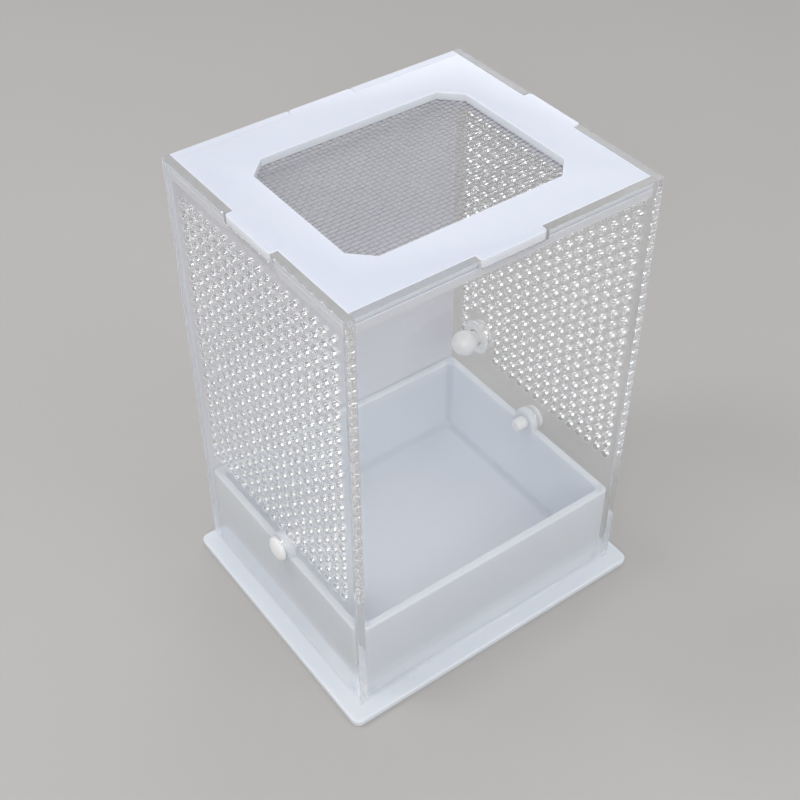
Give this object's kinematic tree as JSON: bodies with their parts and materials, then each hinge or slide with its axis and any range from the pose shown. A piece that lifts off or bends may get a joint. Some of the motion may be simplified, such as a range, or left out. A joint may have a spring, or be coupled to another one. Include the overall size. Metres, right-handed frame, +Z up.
{
  "type": "acrylic spider enclosure",
  "caption": "Small upright terrarium of clear and white acrylic sheet with drilled side walls, a lift-off screened lid, a substrate tray, locking pins and a plugged feeding port.",
  "frame": {"origin": "on the base plate's underside, below the middle of the four walls", "axes": "+X to the right along the front, +Y towards the back, +Z up"},
  "size_m": [0.132, 0.111, 0.181],
  "materials": {
    "milky_acrylic": "milky, satin gloss",
    "frosted_plastic": "frosted, translucent white",
    "clear_acrylic": "clear, polished",
    "white_acrylic": "opaque, glossy",
    "screen_wire": "fine woven wire",
    "white_nylon": "smooth moulded",
    "clear_silicone": "translucent, soft"
  },
  "bodies": {
    "enclosure": {"base_plate": "milky_acrylic", "tray": "frosted_plastic", "left_panel": "clear_acrylic", "right_panel": "clear_acrylic", "front_panel": "clear_acrylic", "back_panel": "white_acrylic", "port_grommet": "clear_silicone"},
    "lid": {"lid_plate": "white_acrylic", "lid_mesh": "screen_wire", "screen_frame": "white_acrylic"},
    "left_pin": {"left_pin": "white_nylon"},
    "right_pin": {"right_pin": "white_nylon"},
    "plug": {"port_plug": "white_nylon"}
  },
  "joints": [
    {"name": "lid_lift", "type": "slide", "parent": "enclosure", "child": "lid", "axis": [0, 0, 1], "range_m": [0, 0.04]},
    {"name": "left_pin_pull", "type": "slide", "parent": "enclosure", "child": "left_pin", "axis": [-1, 0, 0], "range_m": [0, 0.014]},
    {"name": "right_pin_pull", "type": "slide", "parent": "enclosure", "child": "right_pin", "axis": [1, 0, 0], "range_m": [0, 0.014]},
    {"name": "plug_push", "type": "slide", "parent": "enclosure", "child": "plug", "axis": [-1, 0, 0], "range_m": [0, 0.014]}
  ]
}
